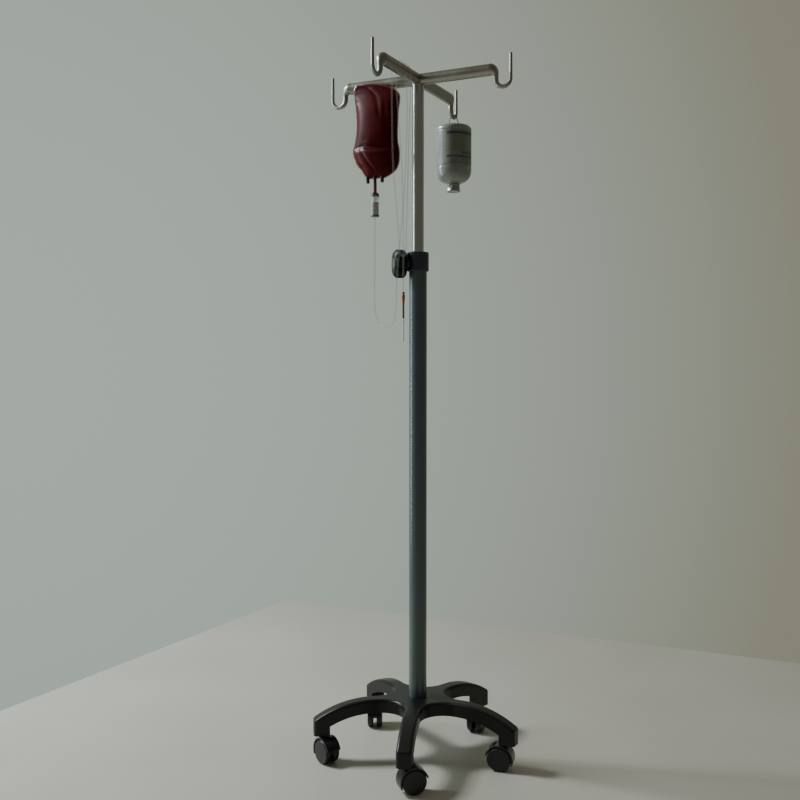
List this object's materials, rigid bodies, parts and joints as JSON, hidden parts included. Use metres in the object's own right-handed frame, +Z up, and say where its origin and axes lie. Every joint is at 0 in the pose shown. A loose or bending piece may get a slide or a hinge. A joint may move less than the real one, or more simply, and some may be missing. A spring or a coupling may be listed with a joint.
{
  "type": "iv drip stand",
  "caption": "Rolling infusion stand: star base on twin-wheel casters, telescopic pole with clamp knob, crossed hook arms, hanging blood bag with drip line, and bottle.",
  "frame": {"origin": "on the pole's axis at the floor", "axes": "+Z up along the pole, +X along one leg of the star and along one hook arm"},
  "size_m": [0.4353, 0.4488, 1.47],
  "materials": {
    "black_nylon": "fine grained satin",
    "steel": "satin",
    "tube_blue": "satin slate paint",
    "collar_navy": "satin",
    "white_plastic": "plain",
    "brass_nut": "turned",
    "chrome_tube": "polished",
    "knob_black": "satin",
    "cap_black": "gloss",
    "hood_black": "semi gloss",
    "wheel_black": "satin",
    "bottle_plastic": "translucent satin",
    "cap_metal": "crimped",
    "wire_dark": "dark",
    "blood_red": "glossy film over blood",
    "clear_plastic": "clear",
    "pink_fluid": "clear fluid",
    "red_plastic": "gloss",
    "clear_line": "clear soft tube",
    "orange_plastic": "gloss",
    "green_plastic": "gloss",
    "white_sheath": "gloss"
  },
  "bodies": {
    "base": {"base_star": "black_nylon", "base_bolt": "steel", "base_washer": "steel", "tube_foot_insert": "steel", "lower_tube": "tube_blue", "clamp_collar": "collar_navy", "clamp_nut": "brass_nut", "guide_bush": "white_plastic", "stem_sleeves": "steel", "caster_stems": "steel"},
    "slider": {"pole_slider": "white_plastic"},
    "pole": {"upper_tube": "chrome_tube", "hook_arm_right": "steel", "hook_arm_far": "steel", "hook_arm_left": "steel", "hook_arm_near": "steel", "infusion_line": "clear_line", "needle_hub": "orange_plastic", "needle_mount": "green_plastic", "needle_sheath": "white_sheath"},
    "shoe": {"clamp_shoe": "white_plastic"},
    "knob": {"clamp_screw": "steel", "clamp_knob": "knob_black", "knob_cap": "cap_black"},
    "bag_set": {"blood_bag": "blood_red", "bag_strap": "clear_plastic", "bag_ports": "blood_red", "drip_spike": "red_plastic", "drip_chamber": "clear_plastic", "chamber_fluid": "pink_fluid", "drip_line": "clear_line"},
    "bail": {"bottle_bail": "wire_dark"},
    "bottle": {"bottle": "bottle_plastic", "bottle_cap": "cap_metal"},
    "swivel_right": {"caster_hood_right": "hood_black", "caster_axle_right": "steel"},
    "wheel_right_a": {"caster_wheel_right_a": "wheel_black"},
    "wheel_right_b": {"caster_wheel_right_b": "wheel_black"},
    "swivel_back_right": {"caster_hood_back_right": "hood_black", "caster_axle_back_right": "steel"},
    "wheel_back_right_a": {"caster_wheel_back_right_a": "wheel_black"},
    "wheel_back_right_b": {"caster_wheel_back_right_b": "wheel_black"},
    "swivel_back_left": {"caster_hood_back_left": "hood_black", "caster_axle_back_left": "steel"},
    "wheel_back_left_a": {"caster_wheel_back_left_a": "wheel_black"},
    "wheel_back_left_b": {"caster_wheel_back_left_b": "wheel_black"},
    "swivel_left": {"caster_hood_left": "hood_black", "caster_axle_left": "steel"},
    "wheel_left_a": {"caster_wheel_left_a": "wheel_black"},
    "wheel_left_b": {"caster_wheel_left_b": "wheel_black"},
    "swivel_front": {"caster_hood_front": "hood_black", "caster_axle_front": "steel"},
    "wheel_front_a": {"caster_wheel_front_a": "wheel_black"},
    "wheel_front_b": {"caster_wheel_front_b": "wheel_black"}
  },
  "joints": [
    {"name": "pole_slide", "type": "slide", "parent": "base", "child": "slider", "axis": [0, 0, 1], "range_m": [-0.15, 0.4]},
    {"name": "pole_turn", "type": "hinge", "parent": "slider", "child": "pole", "pos_m": [0, 0, 1], "axis": [0, 0, 1], "continuous": true},
    {"name": "shoe_feed", "type": "slide", "parent": "base", "child": "shoe", "axis": [-0.809, -0.5878, 0], "range_m": [0, 0.00251]},
    {"name": "knob_turn", "type": "hinge", "parent": "shoe", "child": "knob", "pos_m": [0, 0, 1.0526], "axis": [-0.809, -0.5878, 0], "range_deg": [0, 720]},
    {"name": "bag_swing", "type": "hinge", "parent": "pole", "child": "bag_set", "pos_m": [-0.124, 0, 1.44], "axis": [-1, 0, 0], "range_deg": [0, 8]},
    {"name": "bail_swing", "type": "hinge", "parent": "pole", "child": "bail", "pos_m": [0, 0.1908, 1.403], "axis": [0, 1, 0], "range_deg": [-20, 20]},
    {"name": "bottle_tilt", "type": "hinge", "parent": "bail", "child": "bottle", "pos_m": [0, 0.1908, 1.3882], "axis": [1, 0, 0], "range_deg": [-8, 8]},
    {"name": "swivel_right", "type": "hinge", "parent": "base", "child": "swivel_right", "pos_m": [0.205, 0, 0.04], "axis": [0, 0, 1], "continuous": true},
    {"name": "wheel_right_a", "type": "hinge", "parent": "swivel_right", "child": "wheel_right_a", "pos_m": [0.18924, -0.00278, 0.025], "axis": [-0.1736, 0.9848, 0], "continuous": true},
    {"name": "wheel_right_b", "type": "hinge", "parent": "swivel_right", "child": "wheel_right_b", "pos_m": [0.18924, -0.00278, 0.025], "axis": [-0.1736, 0.9848, 0], "continuous": true},
    {"name": "swivel_back_right", "type": "hinge", "parent": "base", "child": "swivel_back_right", "pos_m": [0.06335, 0.19497, 0.04], "axis": [0, 0, 1], "continuous": true},
    {"name": "wheel_back_right_a", "type": "hinge", "parent": "swivel_back_right", "child": "wheel_back_right_a", "pos_m": [0.06474, 0.17903, 0.025], "axis": [-0.9962, -0.0872, 0], "continuous": true},
    {"name": "wheel_back_right_b", "type": "hinge", "parent": "swivel_back_right", "child": "wheel_back_right_b", "pos_m": [0.06474, 0.17903, 0.025], "axis": [-0.9962, -0.0872, 0], "continuous": true},
    {"name": "swivel_back_left", "type": "hinge", "parent": "base", "child": "swivel_back_left", "pos_m": [-0.16585, 0.1205, 0.04], "axis": [0, 0, 1], "continuous": true},
    {"name": "wheel_back_left_a", "type": "hinge", "parent": "swivel_back_left", "child": "wheel_back_left_a", "pos_m": [-0.15909, 0.106, 0.025], "axis": [-0.9063, -0.4226, 0], "continuous": true},
    {"name": "wheel_back_left_b", "type": "hinge", "parent": "swivel_back_left", "child": "wheel_back_left_b", "pos_m": [-0.15909, 0.106, 0.025], "axis": [-0.9063, -0.4226, 0], "continuous": true},
    {"name": "swivel_left", "type": "hinge", "parent": "base", "child": "swivel_left", "pos_m": [-0.16585, -0.1205, 0.04], "axis": [0, 0, 1], "continuous": true},
    {"name": "wheel_left_a", "type": "hinge", "parent": "swivel_left", "child": "wheel_left_a", "pos_m": [-0.15172, -0.12801, 0.025], "axis": [-0.4695, -0.8829, 0], "continuous": true},
    {"name": "wheel_left_b", "type": "hinge", "parent": "swivel_left", "child": "wheel_left_b", "pos_m": [-0.15172, -0.12801, 0.025], "axis": [-0.4695, -0.8829, 0], "continuous": true},
    {"name": "swivel_front", "type": "hinge", "parent": "base", "child": "swivel_front", "pos_m": [0.06335, -0.19497, 0.04], "axis": [0, 0, 1], "continuous": true},
    {"name": "wheel_front_a", "type": "hinge", "parent": "swivel_front", "child": "wheel_front_a", "pos_m": [0.07505, -0.18405, 0.025], "axis": [0.682, -0.7314, 0], "continuous": true},
    {"name": "wheel_front_b", "type": "hinge", "parent": "swivel_front", "child": "wheel_front_b", "pos_m": [0.07505, -0.18405, 0.025], "axis": [0.682, -0.7314, 0], "continuous": true}
  ],
  "couplings": [
    {"joint": "shoe_feed", "follows": "knob_turn", "m_per_rad": 0.00019894}
  ]
}
